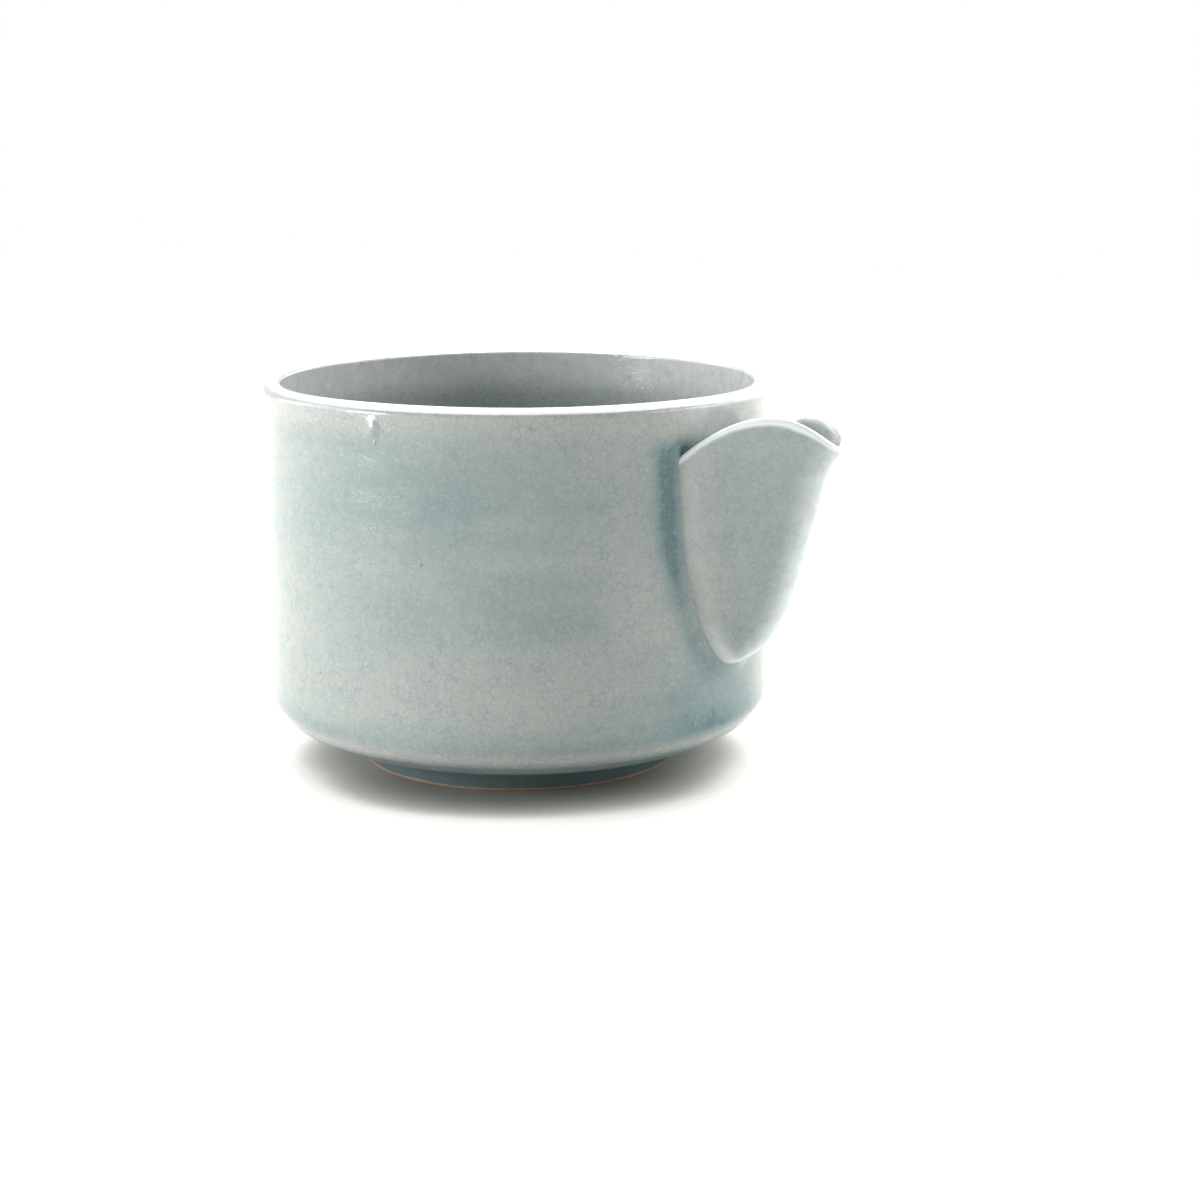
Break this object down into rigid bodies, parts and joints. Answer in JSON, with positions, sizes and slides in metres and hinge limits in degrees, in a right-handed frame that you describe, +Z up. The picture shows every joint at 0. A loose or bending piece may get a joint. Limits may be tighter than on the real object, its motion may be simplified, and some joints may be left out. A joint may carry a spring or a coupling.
{
  "type": "spouted bowl",
  "caption": "Straight-sided stoneware tea bowl on a turned foot ring, with an applied beak spout fed by a pour hole through the wall.",
  "frame": {"origin": "on the resting plane, under the middle of the bounding box", "axes": "+Z up, parallel to the bowl's turning axis; +X from the bowl towards the spout"},
  "size_m": [0.1222, 0.1, 0.076],
  "materials": {
    "celadon_glaze": "glossy, finely crackled celadon glaze, grey to blue-green",
    "pooled_glaze": "glossy celadon glaze lying thick and darker in the joint",
    "bare_clay": "unglazed fired stoneware"
  },
  "bodies": {
    "root": {"bowl_body": "celadon_glaze", "foot_ring": "bare_clay", "spout": "celadon_glaze", "spout_seam": "pooled_glaze"}
  },
  "joints": []
}
